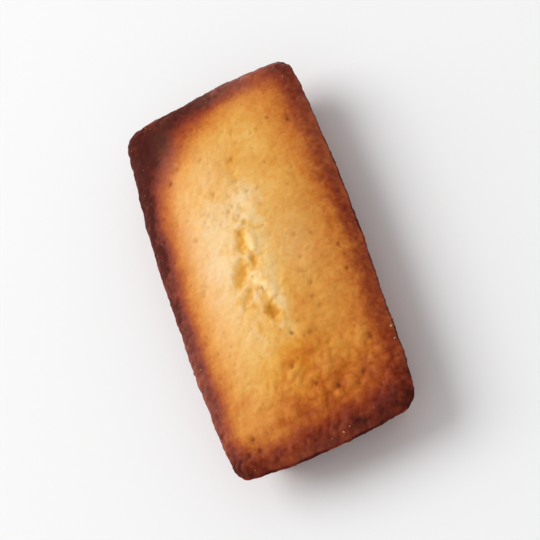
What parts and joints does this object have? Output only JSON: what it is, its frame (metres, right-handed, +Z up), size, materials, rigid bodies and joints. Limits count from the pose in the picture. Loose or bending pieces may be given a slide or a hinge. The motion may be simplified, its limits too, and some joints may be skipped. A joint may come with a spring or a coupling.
{
  "type": "financier cake",
  "caption": "Small bar-shaped almond cake with tapered walls, a flat base and a low risen top split along its crest.",
  "frame": {"origin": "middle of the flat base, on the surface that the cake rests on", "axes": "+Z up out of the risen top, Y along the cake's length, X across its width"},
  "size_m": [0.0432, 0.0854, 0.019],
  "materials": {
    "crust": "baked cake crust: matte golden top, darker brown at the rim, satin mahogany walls and base"
  },
  "bodies": {
    "root": {"financier": "crust"}
  },
  "joints": []
}
